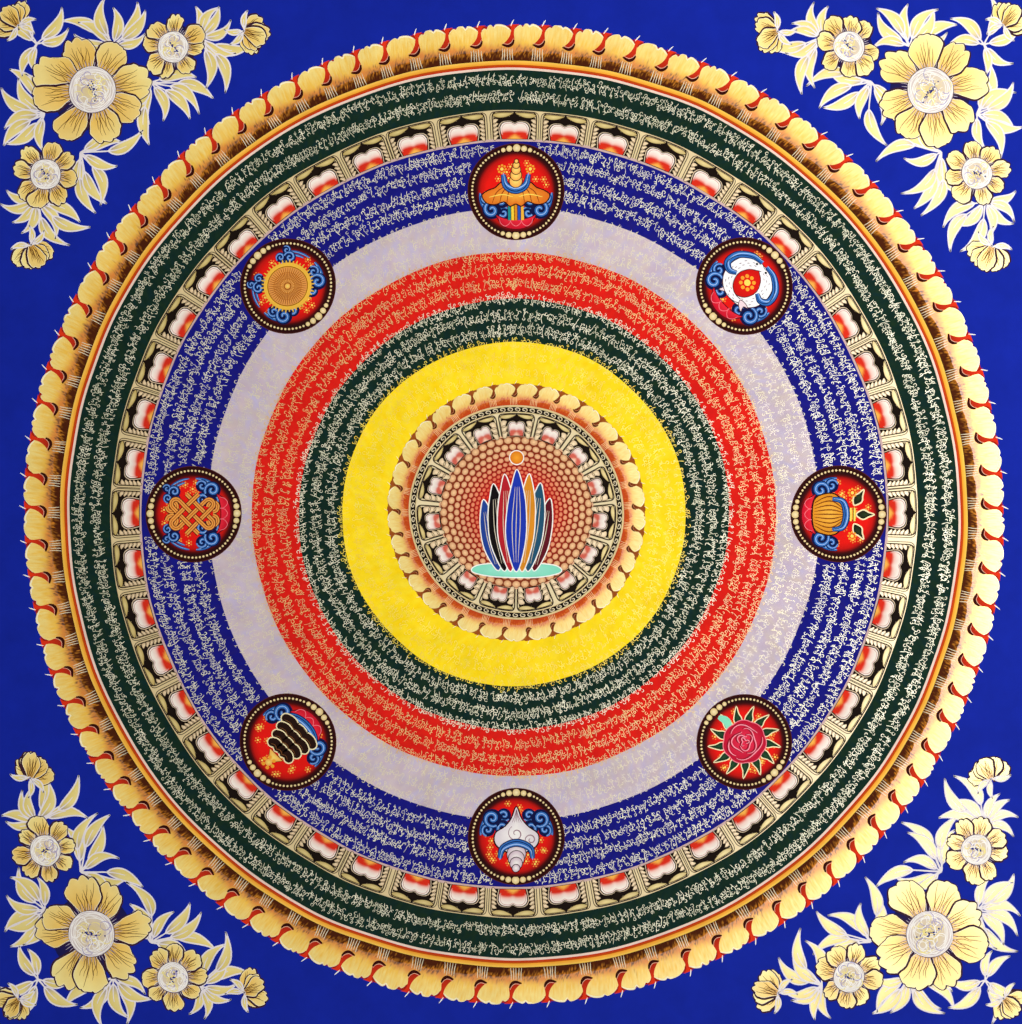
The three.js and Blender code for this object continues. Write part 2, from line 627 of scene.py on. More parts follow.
def petal_hook(film, size, looks, rng):
    """The gap between two petals: a neck that sweeps into a hook, a hair above and a comb of lines below."""
    lean = rng.normal(0, 0.35)
    slim = (looks.slim, 1)
    right = [(4.4, 24.9), (1.7, 23.2), (0.7, 20.6), (0.6, 17.6), (0.9, 15.0), (0.2, 12.6), (-2.2, 10.6)]
    left = [(-2.6, 24.9), (-1.5, 22.6), (-1.6, 20), (-2.4, 17.4), (-3.8, 15), (-5.6, 13), (-7.5, 11.4)]
    sides = np.stack([curve(left, 3), curve(right, 3)]) * slim
    sides[..., 0] += lean * sides[..., 1] / 24
    film.rows(sides, mix(looks.hook, looks.heart, np.linspace(-0.3, 1.2, sides.shape[1])), 3)
    foot = curve([(1.0, 14.2), (-0.6, 11.4), (-3.4, 10.0), (-7.9, 11.2)], 5) * slim
    film.brush(foot, 2.1 * size, looks.dark, 3.2)
    film.brush(foot + (-0.3, 1.3), 0.4 * size, looks.glint, 3.4)
    hair = curve([(-1.6, 23.8), (-0.7, 25.8), (0.5, 28.2)], 4) + (lean, 0)
    film.brush(hair, looks.hair * size, WHITE, 3.6)
    for k in range(5):
        x = -6.8 + 1.6 * k + rng.normal(0, 0.1)
        tooth = [(x + 0.25 * (k - 2), 0.2), (x, 4.5), (x, 8.4 + rng.normal(0, 0.4))]
        film.brush(curve(tooth, 3), 0.5 * size, looks.comb, 3.5)


# Lotus panels
def lotus_panel(film, looks):
    """One framed panel of a lotus ring, drawn from -1 to 1 across it and from 0 to 1 up it."""
    for k, (x, width) in enumerate(looks.lines):
        line = [(-x, 0.0), (-x, 0.5), (0.005 - x, 0.8), (0.1 - x, 0.93), (0.3 - x, 0.95), (0, 0.95)]
        film.stroke(mirrored(curve(line, 4)), width, PANEL_LINE, 2 + 0.1 * k)
    side = [(-0.82, 0.0), (-0.82, 0.76), (-0.5, 0.72), (-0.2, 0.78), (-0.07, 0.87), (0, 0.97)]
    film.fill(mirrored(side), SOOT, 2.3)
    lens = [(0.82, 0.86), (0.8, 0.79), (0.62, 0.735), (0.4, 0.74), (0.2, 0.8), (0.05, 0.9), (0.62, 0.91)]
    claws, tip = looks.claws
    tall = 0.36 / claws
    for way in (-1, 1):
        drape = curve(lens, 4, closed=True) * (way, 1)
        film.fan(drape, "#B89A4A", 2.4, "#DCC67C", (0.46 * way, 0.84), gilt=True)
        film.stroke(drape, 0.45, PANEL_LINE, 2.45, closed=True)
        for k in range(claws):
            y = 0.04 + 0.7 * k / claws
            root = [(0.84, y - tall), (0.84, y + tall), (0.42 + 0.5 * tip, y + 1.5 * tall)]
            claw = curve(root + [(tip, y + tall), (tip + 0.07, y), (tip + 0.13, y - tall)], 2, True)
            film.outlined(claw * (way, 1), "#C9A878", PANEL_LINE, 0.3, 2.5 + 0.02 * k, "#EBD3A6", True)
    lotus_tooth(film, looks)


def lotus_tooth(film, looks):
    """The broad two-lobed petal at a panel's foot, pale above and flushed below."""
    u = np.linspace(-1, 1, 21)
    v = np.array([0, 0.12, 0.25, 0.36, 0.44, 0.52, 0.62, 0.8, 1.0])[:, None]
    lobes = 0.585 - 0.075 * np.exp(-((u / 0.17) ** 2)) - 0.16 * np.abs(u) ** 8 - 0.02 * np.abs(u) ** 2
    lines = np.stack([u * looks.half * (1 + 0.13 * np.sin(0.5 * np.pi * v)), v * lobes], -1)
    tints = mix(looks.pale, looks.blush, (0.7 - v) / 0.22 + 0 * u)
    tints = mix(tints, looks.flush, (0.5 - v) / 0.1 - 0.5 * np.abs(u) ** 6)
    tints = mix(tints, looks.glow, (0.38 - v - 0.55 * np.abs(u)) / 0.2)
    edge = outer_edge(lines)
    film.stroke(edge * (1.09, 1.04), 0.75, "#DCC4A2", 2.75)
    film.stroke(edge * (1.04, 1.015), 0.7, "#3A1710", 2.8)
    film.rows(lines, tints, 2.9)
    film.stroke(edge[3:-3] * (0.9, 0.93), 0.35, "#C98E80", 3.0)


def panel_ring(film, count, foot, rim, centre, looks, rng):
    """Panels side by side all round a ring."""
    half_width = np.pi / count * foot
    for angle in uneven(count, 0.02, 0.0, rng):
        film.at(within(around(angle, foot, centre), about(0, 0, size=(half_width, rim - foot))))
        lotus_panel(film, looks)


# Rows of pen strokes
def clear_of_medallions(angle, radius):
    """Whether a mark there shows beside the eight medallions, which cover what lies under them."""
    step = TURN / MEDALLIONS
    off = (angle + step / 2) % step - step / 2
    gap = math.hypot(radius * math.sin(off), radius * math.cos(off) - MEDALLION_RING)
    return gap > MEDALLION_RADIUS - 1


def pen_mark(film, tint, coat, rng):
    """One small flourish: a short leaning stem with loops set round it, and now and then a tail."""
    pen = rng.uniform(0.36, 0.5)
    lean = rng.normal(0, 0.4)
    stem = [(lean, 1.8), (0.4 * lean + 0.2, 0.5), (-0.2, -0.6), (-lean, -1.8)]
    film.brush(stem, pen, tint, coat, 0.55, True)
    spots = rng.permutation([(-1.4, 1.4), (1.4, 1.3), (-1.4, -1.3), (1.4, -1.4), (0.1, 3.0), (-0.1, -2.9)])
    for k, spot in enumerate(spots[: rng.integers(3, 6)]):
        start = rng.uniform(0, 360)
        radius = rng.uniform(0.6, 1.1)
        end = start + rng.uniform(200, 330)
        loop = arc(radius, start, end, 7, spot + rng.normal(0, 0.2, 2))
        film.brush(loop, pen, tint, coat + 0.05 * (k + 1), 0.6, True)
    for way, share in ((-1, 0.4), (1, 0.2)):
        if rng.random() < share:
            x = way * lean
            tail = [(x, 1.6 * way), (x + 0.5, 3.2 * way), (x + 1.0, 4.5 * way)]
            film.brush(tail, pen, tint, coat + 0.28, 0.4, True)


def pen_rows(name, radii, tints, pitch, rng):
    """Rows of marks round the mandala, coloured between two tints; neighbours lie on coats apart."""
    film = Film(name)
    for radius in radii:
        angle = rng.uniform(0, 0.02)
        wave = rng.uniform(0, TURN)
        turn = 0
        while angle < TURN:
            wander = 0.5 * math.sin(9 * angle + wave) + rng.normal(0, 0.3)
            if clear_of_medallions(angle, radius):
                film.at(around(angle, radius + wander))
                pen_mark(film, mix(*tints, rng.random()), 2 + 0.3 * (turn % 5), rng)
            angle += pitch * rng.uniform(0.8, 1.2) / radius
            turn += 1
    return film


# The outer and inner rings
def outer_petals():
    film = Film("outer_petals")
    rng = np.random.default_rng(5)
    petal_ring(film, PETALS, PETAL_FOOT, PETAL_TIP, CENTRE, OUTER_PETAL_LOOKS, rng)
    return film


def outer_panels():
    film = Film("outer_lotus_panels")
    rng = np.random.default_rng(6)
    panel_ring(film, PANELS, PANEL_FOOT, PANEL_RIM, CENTRE, OUTER_PANEL_LOOKS, rng)
    return film


def chain_ring(film):
    """Pale running curls on the dark ring round the middle."""
    curl = arc(np.linspace(1.75, 0.6, 12), -80, 300, 12) * (1.25, 0.85)
    for k in range(CHAIN_CURLS):
        film.at(around(TURN * k / CHAIN_CURLS, (CHAIN_RIM + INNER_PANEL_RIM) / 2, ROUNDEL))
        film.brush(curl, 0.72, "#D8C6A2", 2, 0.5)
    film.ring(CHAIN_RIM, CHAIN_RIM - 0.5, PANEL_CREAM, 2.2, centre=ROUNDEL)
    film.ring(INNER_PANEL_RIM + 0.4, INNER_PANEL_RIM - 0.2, PANEL_CREAM, 2.2, centre=ROUNDEL)


def inner_rings():
    film = Film("inner_rings")
    rng = np.random.default_rng(7)
    film.ring(INNER_FOOT, CHAIN_RIM, PANEL_CREAM, 1.2, centre=ROUNDEL)
    film.ring(CHAIN_RIM, INNER_PANEL_RIM, SOOT, 1.2, centre=ROUNDEL)
    film.ring(INNER_PANEL_RIM, INNER_PANEL_FOOT, "#E2CFA2", 1.2, centre=ROUNDEL)
    petal_ring(film, INNER_PETALS, INNER_FOOT, INNER_TIP, ROUNDEL, INNER_PETAL_LOOKS, rng)
    chain_ring(film)
    panel_ring(film, INNER_PANELS, INNER_PANEL_FOOT, INNER_PANEL_RIM, ROUNDEL, INNER_PANEL_LOOKS, rng)
    return film


# Corner sprays
def leaf(film, place, length, bend, coat):
    """A leaf from its stem at the origin along +y: a thin stalk, then a pointed blade with a pale edge."""
    film.at(place)
    blade = min(0.86 * length, LEAF_BLADE)
    stalk = 1 - blade / length  # its share of the length
    v = np.linspace(0, 1, 13)[:, None]
    u = np.array([-1, -0.5, 0, 0.5, 1])

    def spine(reach):
        return bend * length * (1.1 * reach**2 - 1.5 * reach**3)

    half = 0.15 * blade * np.sin(np.pi * v**0.8) ** 0.9
    reach = stalk + (1 - stalk) * v
    lines = np.stack([spine(reach) + u * half, length * reach + 0 * u], -1)
    body = mix(LEAF_YELLOW, LEAF_KHAKI, 0.35 + 0.5 * u - 0.3 * v)
    film.rows(lines, mix(body, LEAF_SHADE, 0.7 - 2.4 * v - 0.3 * u), coat, gilt=True)
    film.stroke(np.concatenate([lines[:, 0], lines[::-1, -1]]), 1.0, LEAF_EDGE, coat + 0.05)
    t = np.linspace(0, stalk + 0.5 * blade / length, 9)
    width = np.interp(t, [0, stalk, 1], [1.3, 0.9, 0.1])
    film.stroke(np.column_stack([spine(t), length * t]), width, LEAF_EDGE, coat + 0.1)


def leaf_cluster(film, place, stem, leaves, coat, rng):
    """Leaves fanned from one stem, each heading its own way."""
    for k, (heading, length) in enumerate(leaves):
        turn = math.radians(heading + rng.normal(0, 4)) - math.pi / 2
        bend = rng.choice([-1, 1]) * rng.uniform(0.35, 0.7)
        here = within(place, about(*stem, turn))
        leaf(film, here, length * rng.uniform(0.92, 1.04), bend, coat + 0.15 * k)


def flower_petal(film, place, length, half, coat, rng):
    """A fan-shaped petal from its base at the origin along +y, with an uneven lobed rim and wavy veins."""
    film.at(place)
    v = np.array([0, 0.12, 0.28, 0.45, 0.6, 0.74, 0.86, 0.94, 1.0])[:, None]
    u = np.linspace(-1, 1, 41)
    lobes = np.abs(np.cos(rng.uniform(1.1, 1.7) * np.pi * (u + rng.uniform(-0.3, 0.3)))) ** 0.5
    rim = 0.9 - 0.3 * np.abs(u) ** 3.2 + 0.1 * lobes + 0.025 * np.sin(9 * u + rng.uniform(0, 6))
    spread = 0.32 + 0.68 * np.sin(np.minimum(1, 1.2 * v) * np.pi / 2) ** 1.4
    ripple = 0.08 * u * v * np.sin(8 * v + np.where(u < 0, rng.uniform(0, 6), rng.uniform(0, 6)))
    sway = rng.normal(0, 0.2) * half
    lines = np.stack([half * spread * (u + ripple) + sway * v**2, v * length * rim], -1)
    body = mix("#BC7C26", "#FCD062", v / 0.36 + 0 * u)
    body = mix(body, "#FFEA92", (v - 0.35) / 0.6 + 0.3 * u)
    body = mix(body, "#EDB23A", rng.uniform(0, 0.5))
    edge = outer_edge(lines)
    film.stroke(edge + (0.3, -0.3), 2.3, PETAL_SHADE, coat)
    film.rows(lines, body, coat + 0.05, gilt=True)
    film.stroke(edge, 0.35, "#FDEEC4", coat + 0.1)
    for lean in np.linspace(-0.8, 0.8, 7):
        steps = np.linspace(0.02, rng.uniform(0.55, 0.9), 6)
        wave = 0.05 * np.sin(7 * steps + rng.uniform(0, 6)) + 0.03 * rng.normal(0, 1, 6)
        across = half * (lean * (0.3 + 0.6 * steps) + wave) + 0.3 * sway
        film.brush(curve(np.column_stack([across, steps * length]), 3), 0.42, "#54290C", coat + 0.15)


def flower(film, place, at, reach, heart, coat, rng):
    """A peony seen from the front: fan-shaped petals round a scribbled disc."""
    first = rng.uniform(0, TURN)
    here = within(place, about(*at))
    film.at(here)
    film.disc((0, 0), 0.72 * reach, PETAL_SHADE, coat - 0.1, "#16184E", sides=36)
    start = 0.82 * heart
    for k in range(FLOWER_PETALS):
        turn = first + TURN * k / FLOWER_PETALS + rng.normal(0, 0.08)
        spoke = within(here, about(0, 0, turn, rng.uniform(0.92, 1.08)))
        half = 0.275 * reach * rng.uniform(0.88, 1.12)
        flower_petal(film, within(spoke, about(0, start)), reach - start, half, coat + 0.2 * k, rng)
    top = coat + 0.2 * FLOWER_PETALS + 0.2
    for turn in np.linspace(0, TURN, 56, endpoint=False):
        hair = [(0, 0.9 * heart), (0.2, 1.1 * heart), (0, heart * rng.uniform(1.15, 1.4))]
        film.at(within(here, about(0, 0, turn)))
        film.brush(hair, 0.35, "#CDBFC6", top)
    film.at(here)
    flower_heart(film, heart, top + 0.1, rng)


def flower_heart(film, heart, top, rng):
    """A flower's middle: scribbled loops within a few turns of pale line, and dark specks."""
    film.disc((0, 0), heart + 0.4, PETAL_SHADE, top, sides=28)
    film.disc((0, 0), heart, "#E6CC78", top + 0.1, "#D6C8C8", 28)
    turn = np.radians(np.arange(0, 360, 10))
    for k in range(6):
        wave = 0.97 - 0.055 * k + 0.03 * np.sin(rng.integers(3, 6) * turn + rng.uniform(0, 6))
        film.stroke(circle(heart * wave, len(turn)), 0.45, WHITE, top + 0.15 + 0.05 * k, closed=True)
    tints = (WHITE, "#F2E08C", WHITE, "#A89CC0")
    for k in range(int(16 + 1.6 * heart)):
        way = rng.uniform(0, TURN)
        off = heart * math.sqrt(rng.uniform(0.0, 0.5))
        start = rng.uniform(0, 360)
        radius = heart * rng.uniform(0.14, 0.32)
        spot = (off * math.cos(way), off * math.sin(way))
        loop = arc(radius, start, start + rng.uniform(120, 280), 9, spot)
        film.brush(loop, 0.6, tints[k % 4], top + 0.5 + 0.03 * k)
    tilt = rng.uniform(0, np.pi)
    axis = np.array([math.cos(tilt), math.sin(tilt)])
    for k in range(int(1.3 * heart)):
        spot = heart * (rng.normal(0, 0.24) * axis + rng.normal(0, 0.07, 2))
        film.disc(spot, rng.uniform(0.4, 0.7), "#1C2270", top + 1.8 + 0.05 * k, sides=6)


def bud(film, place, at, heading, reach, coat, rng):
    """A half-open bud: a fan of small petals held in short leaves."""
    turn = math.radians(heading) - np.pi / 2
    for k, lean in enumerate((-0.95, 0.95, -0.45, 0.45, 0)):
        here = within(place, about(*at, turn + lean + rng.normal(0, 0.08)))
        flower_petal(film, here, reach * rng.uniform(0.88, 1.1), 0.36 * reach, coat + 0.2 * k, rng)
    for lean in (1.9, -1.9, 2.7):
        leaf(film, within(place, about(*at, turn + lean)), 0.85 * reach, 0.4, coat + 1.3)


def corner_spray(name, side_x, side_y, rng):
    """Flowers, buds and leaves that fill one corner, alike on both sides of its diagonal."""
    film = Film(name)
    here = corner(side_x, side_y)
    swapped = within(here, lambda points: points[:, ::-1])
    leaf_cluster(film, here, CORNER_STEM, CORNER_LEAVES, 1, rng)
    bud(film, here, CORNER_BUD, 225, 15, 2.2, rng)
    for place in (here, swapped):
        for k, (stem, leaves) in enumerate(SIDE_LEAVES.items()):
            leaf_cluster(film, place, stem, leaves, 1 + 0.02 * k, rng)
        bud(film, place, BUD, 20, 16, 2.2, rng)
        flower(film, place, SMALL_FLOWER, 22, 10.4, 4, rng)
    flower(film, here, BIG_FLOWER, 38.5, 15.8, 4, rng)
    return film


# Ornaments of the medallions
def cloud(film, at, size, way, coat):
    """A curling blue cloud: waves that roll into spirals, with tails along the rim of the picture."""
    at = np.array(at)
    shape = size * np.array([way, 1])
    start = math.degrees(math.atan2(at[1], at[0]))
    sweep = 34 if at[0] * at[1] < 0 else -34
    for k in (0, 1):
        level = coat + 0.2 * k
        trail = arc(PICTURE_RADIUS - 2.0 - 2.2 * k, start, start + sweep * (1 - 0.25 * k), 14)
        film.brush(trail, 0.62 * size, NAVY, level, 0.3)
        film.brush(trail, 0.42 * size, CLOUD_BLUE, level + 0.05, 0.25)
        film.brush(trail * 0.99, 0.1 * size, CLOUD_PALE, level + 0.1, 0.3)
    curls = ((1.6, -0.4, 0.85, 40), (-0.6, 1.5, 0.85, 100), (1.4, 1.3, 0.95, 0), (0, 0, 1.15, 60))
    for k, (x, y, radius, start) in enumerate(curls):
        level = coat + 0.5 + 0.3 * k
        spiral = at + shape * arc(radius * np.linspace(1.0, 0.1, 22), start, start + 470, 22, (x, y))
        film.disc(at + shape * (x, y), 1.14 * radius * size, NAVY, level, sides=16)
        film.brush(spiral, 0.46 * radius * size, CLOUD_BLUE, level + 0.05, 0.5)
        film.brush(spiral, 0.11 * radius * size, CLOUD_PALE, level + 0.15, 0.5)


def scarf(film, points, width, coat):
    """A blue silk scarf with a pale and a dark fold along it."""
    line = curve(points, 6)
    film.brush(line, width + 1.3, NAVY, coat, 0.4)
    film.brush(line, width, CLOUD_BLUE, coat + 0.1, 0.35)
    film.brush(line + (0, 0.24 * width), 0.2 * width, CLOUD_PALE, coat + 0.2, 0.3)
    film.brush(line - (0, 0.2 * width), 0.14 * width, NAVY, coat + 0.2, 0.3)


def lotus_seat(film, y, coat):
    """A seat of red lotus petals, broad and hollow like a crescent."""
    top = curve(mirrored([(-13.5, y + 3), (-7, y + 0.6), (0, y)]), 5)
    low = curve(mirrored([(-13, y + 1.2), (-8, y - 5), (0, y - 6.8)]), 5)
    film.rows([low, top], ("#C20F26", "#E8283A"), coat)
    film.stroke(np.concatenate([low, top[::-1]]), 0.6, "#5A0A12", coat + 0.1, closed=True)
    lobe = curve(mirrored([(-4, 0.6), (-3, -2.6), (0, -4.6)]), 3)
    for k, x in enumerate((-7.4, 7.4, 0)):
        film.brush(lobe + (x, y), 0.5, "#F07078", coat + 0.2 + 0.1 * k, 0.5)


def rosette(film, at, coat):
    """A dot in a ring of dots."""
    film.disc(at, 1.2, LEMON, coat, sides=8)
    film.dots(circle(2.5, 8, at), 0.85, AMBER, coat, sides=6)


def stacked_discs(film, discs, tint, rim, coat, rise, gilt=False):
    """Discs up the middle by height and radius, each over the last and by rise over its dark edge."""
    for k, (y, radius) in enumerate(discs):
        level = coat + 0.2 * k
        film.disc((0, y), radius + 0.5, MAROON, level, sides=16)
        film.disc((0, y), radius, tint, level + rise, rim, 16, gilt)


# The eight emblems
def treasure_parasol(film):
    for k, tint in enumerate(("#1E8A86", "#F6CE3A", "#D98A1E", "#2750B0", "#F2B23A")):
        x = -5.5 + 2.2 * k
        film.fill([(x, -19), (x + 2.2, -19), (x + 1.8, -6), (x, -6)], tint, 6)
        film.stroke([(x, -19), (x, -6)], 0.4, MAROON, 6.1)
    crown = [(0, 7), (6, 5.5), (10, 6.5), (14, 3), (19, 1), (23, -2.5)]
    hem = [(20, -7.5), (14, -8.5), (8, -6.5), (4, -9.5), (0, -8)]
    canopy = curve(mirrored(crown + hem)[:-1], 4, True)
    film.outlined(canopy, "#DD6A1A", MAROON, 0.8, 6.5, "#F5A93A")
    for x in (-16, -11, -6, 6, 11, 16):
        film.brush(curve([(0.35 * x, 5), (0.8 * x, 0), (x, -7.5)], 4), 0.6, "#8A3208", 6.8)
    for way in (-1, 1):
        film.brush(curve([(2 * way, -3), (9 * way, -1.5), (18 * way, -3.5)], 4), 0.7, LEMON, 6.9)
        rosette(film, (9.5 * way, 15.5), 6.5)
    scarf(film, mirrored([(-8.5, 12), (-6.5, 4.5), (0, 1.6)]), 4.4, 7)
    finial = ((7.5, 4.2), (11.5, 3.6), (15, 2.9), (18.2, 2.1), (20.8, 1.2))
    stacked_discs(film, finial, LEMON, AMBER, 7.5, 0.05, gilt=True)


def two_fish(film):
    middle = (0, 3)
    line = "#4A2028"
    film.disc(middle, 13, LACQUER, 6, "#C0120E", 28)
    swell = np.interp(np.linspace(0, 1, 28), [0, 0.1, 0.3, 0.6, 0.88, 1], [2.4, 6.4, 8.4, 7.4, 4.2, 2.4])
    fin = curve([(0, 1), (-4.2, 1.6), (-7.4, 0.4), (-4.6, -0.8), (-5.6, -4.4), (-1.4, -2.2)], 3, True)
    for way, coat in ((1, 6.4), (-1, 7.0)):
        body = arc(1, 98, -112, 28) * (way * 12.6, 13.6) + middle
        film.stroke(body, swell + 1.1, line, coat)
        film.stroke(body, swell, "#F6F1EE", coat + 0.1)
        for k in range(2, 26):
            scale = body[k] + 0.065 * ((k * 7) % 5 - 2) * (body[k] - middle)
            step = body[k + 1] - body[k]
            film.brush(scale + np.outer((0, 0.5, 1), step), 0.45, "#6E5860", coat + 0.2)
        film.outlined(body[-1] + fin * (way, 1), "#F0D6D8", line, 0.5, coat + 0.25)
        film.disc(body[3] + (0.8 * way, 0.6), 0.85, BLACK, coat + 0.5, sides=8)
    drape = np.array([(2, 20), (10, 18.5), (17.5, 12), (19, 4), (14.5, 0.5), (9.5, 2.5)])
    for way, coat in ((1, 7.8), (-1, 8.4)):
        scarf(film, drape * (way, 1), 4.0, coat)
    film.dots(circle(4.4, 8, middle), 1.35, AMBER, 7.5)
    film.disc(middle, 2.2, LEMON, 7.6)


def treasure_vase(film):
    base = film.place
    flame = curve(mirrored([(0, 0), (-3.2, 4.6), (-1.6, 8.4), (0, 12.4)])[:-1], 4, True)
    for turn in (1.0, -1.0, 0):
        film.at(within(base, about(-7.5 * math.sin(turn), 9 + 3 * math.cos(turn), turn)))
        film.outlined(flame, "#160D08", BEAD, 0.95, 6.2 if turn else 6.6, "#2A3A20")
    film.at(base)
    body = curve(mirrored([(-9, -17), (-14, -9), (-13, -1), (-5, 4.4)]), 4, True)
    film.outlined(body, "#D9861A", MAROON, 0.9, 6.8, "#EFB040")
    for x in np.linspace(-0.86, 0.86, 9):
        rib = curve([(5 * x, 4), (13 * x, -3), (13.4 * x, -9), (9 * x, -16.4)], 4)
        film.brush(rib, 0.85, "#7A3A0A", 7)
    film.fill([(-4, 4), (4, 4), (3, 12), (-3, 12)], AMBER, 7.1)
    for y in (6, 8.4, 11):
        film.stroke([(-4.4, y), (4.4, y)], 1.3, LEMON, 7.2)
        film.stroke([(-4.4, y - 0.9), (4.4, y - 0.9)], 0.5, MAROON, 7.25)
    scarf(film, mirrored([(-10.5, -4), (-8.5, 3), (0, 5.4)]), 3.8, 7.4)
    for x in (-14.5, 14.5):
        rosette(film, (x, 9.5), 6.5)


def lotus_flower(film):
    base = film.place
    leaves = 13
    blade = curve([(0, -2), (-2.7, 3), (-1.2, 7.4), (2.0, 12.6), (2.0, 7.4), (2.9, 3)], 3, True)
    for k in range(leaves):
        turn = TURN * (k + 0.5) / leaves
        film.at(within(base, about(-12.5 * math.sin(turn), 12.5 * math.cos(turn), turn)))
        film.outlined(blade, "#0E1C10", BEAD, 0.75, 6 + 0.2 * (k % 2), "#24482A")
    film.at(base)
    film.brush(curve([(0.5, -25), (-1.4, -19), (1.6, -13)], 5), 5.4, "#86D8B4", 6.6)
    ruffle = 14.2 + 0.9 * np.abs(np.sin(3.5 * np.radians(np.arange(0, 360, 6))))
    film.outlined(circle(ruffle, 60), "#B80E2C", "#F07C8C", 0.6, 6.8, "#E62E4C")
    outer_folds = ((11.6, 20, 150), (11.2, 170, 285), (10.8, 300, 375))
    inner_folds = ((8.2, 60, 230), (7.8, 240, 400), (5.2, 0, 210), (4.6, 200, 330), (2.2, 90, 400))
    for k, (radius, start, end) in enumerate(outer_folds + inner_folds):
        wave = radius + 1.1 * np.sin(3 * np.radians(np.linspace(start, end, 18)) + k)
        fold = arc(wave, start, end, 18)
        film.brush(fold + (0.4, -0.7), 1.5, "#8E0A22", 7 + 0.2 * k)
        film.brush(fold, 0.8, "#F4909E", 7.1 + 0.2 * k)


def white_conch(film):
    line = "#9A7880"
    left = [(0, -20), (-3.4, -12), (-8, -6.5), (-14.6, -1.5), (-13.8, 6), (-6, 11)]
    right = [(6, 11), (14.2, 5.6), (14.4, -2), (8, -6.5), (3.6, -12)]
    film.outlined(curve(left + right, 5, True), "#DCCFD2", MAROON, 0.9, 6.6, WHITE)
    for x, y, size, spin in ((0.5, -1.5, 5.6, 1), (-9.5, 2.5, 4.2, -1)):
        film.brush(arc(np.linspace(size, 0.8, 24), -60 * spin, 420 * spin, 24, (x, y)), 0.8, line, 6.9)
    for k in range(5):
        film.brush(curve([(-3.4 + 1.6 * k, -9), (-1.4 + 0.7 * k, -13), (0, -18)], 4), 0.45, line, 7)
    whorls = ((12, 6.2), (15.2, 5.2), (18.4, 4.0), (21.6, 2.4))
    stacked_discs(film, whorls, WHITE, "#CDB4BC", 7.1, 0.1)
    scarf(film, mirrored([(-11, 15), (-9, 8), (0, 4.6)]), 4.2, 8.2)


def victory_banner(film):
    scarf(film, mirrored([(-15, -8), (-10, -15), (0, -17.4)]), 4.0, 6.0)
    for k in range(4):
        wide = 12.4 - 1.6 * k
        coat = 6.5 + 0.4 * k
        x = np.linspace(-wide, wide, 25)
        tier = np.column_stack([x, -10.5 + 6 * k - 1.3 * np.abs(np.sin(1.5 * np.pi * (x / wide + 1)))])
        for step, (width, tint) in enumerate(((7.4, BEAD), (5.8, "#24110A"))):
            film.stroke(tier, width, tint, coat + 0.1 * step)
            film.dots(tier[[0, -1]], width / 2, tint, coat + 0.05 + 0.1 * step, sides=14)
        film.brush(tier + (0, 1.4), 0.5, "#7A4A22", coat + 0.2)
    film.outlined([(-6, 11.5), (6, 11.5), (0, 19.5)], AMBER, MAROON, 0.7, 8.2, LEMON, gilt=True)
    film.dots(circle(3.6, 6, (0, 19)), 1.3, AMBER, 8.5)
    film.disc((0, 19), 2.4, LEMON, 8.6, AMBER, 12, gilt=True)


def endless_knot(film):
    """Three bands each way, woven over and under, with rounded loops at the ends."""
    pitch, reach = 6.6, 12.6
    film.at(within(film.place, about(0, 1, math.pi / 4)))

    def band(line, coat):
        film.stroke(line, 3.6, "#5A1408", coat)
        film.stroke(line, 2.5, "#F09A2E", coat + 0.05, gilt=True)
        film.stroke(line, 0.5, "#B4560E", coat + 0.1)

    for y in (-pitch, 0, pitch):
        run = np.array([(-reach, y), (0, y), (reach, y)])
        band(run, 6.4)
        band(run[:, ::-1], 6.8)
    for x, y in ((-pitch, 0), (0, -pitch), (0, pitch), (pitch, 0)):
        band([(x - 2.2, y), (x, y), (x + 2.2, y)], 7.2)
    for way in (-1, 1):
        turn_back = arc(pitch / 2, -90, 90, 9, (reach, way * pitch / 2)) * (way, 1)
        corner_loop = arc(3.4, 45, 315, 12, (-way * (reach + 0.6), -way * pitch))
        for line, coat in ((turn_back, 6.5), (corner_loop, 6.3)):
            band(line, coat)
            band(line[:, ::-1], coat)


def golden_wheel(film):
    for k, way in enumerate(circle(1, 44)):
        flame = np.outer((15.5, 17.2, 17.8 + 0.9 * (k % 2)), way)
        film.brush(flame, 1.0, "#E8B41E", 6.4, gilt=True)
    film.disc((0, 0), 16.4, "#F6C41A", 6.7, "#F0B41A", 44, gilt=True)
    film.stroke(circle(13.6, 44), 0.6, "#9A5408", 6.8, closed=True)
    film.disc((0, 0), 13.2, "#EDA23A", 6.9, "#DD8C2C", 40, gilt=True)
    for k, way in enumerate(circle(1, 48)):
        film.brush(np.outer((2.4 + 2.4 * (k % 2), 8, 12.8), way), 0.6, "#9A4E10", 7)
    for radius in (5, 9.4):
        film.stroke(circle(radius, 36), 0.35, "#B4651A", 7.1, closed=True)
    film.disc((0, 0), 2.6, "#93480C", 7.2, sides=16)
    film.disc((0, 0), 1.9, LEMON, 7.3, AMBER, 16, gilt=True)


# Medallions: each emblem, whether it stands on a lotus seat, and its clouds by place on the right and size
LOW_CLOUDS = ((16.5, -12.0, 5.0),)
FOUR_CLOUDS = ((16.5, -12.5, 4.6), (15.0, 13.5, 3.3))
EMBLEMS = (
    (treasure_parasol, True, LOW_CLOUDS),
    (two_fish, True, LOW_CLOUDS),
    (treasure_vase, True, LOW_CLOUDS),
    (lotus_flower, False, ()),
    (white_conch, False, LOW_CLOUDS),
    (victory_banner, True, LOW_CLOUDS),
    (endless_knot, True, FOUR_CLOUDS),
    (golden_wheel, False, FOUR_CLOUDS),
)


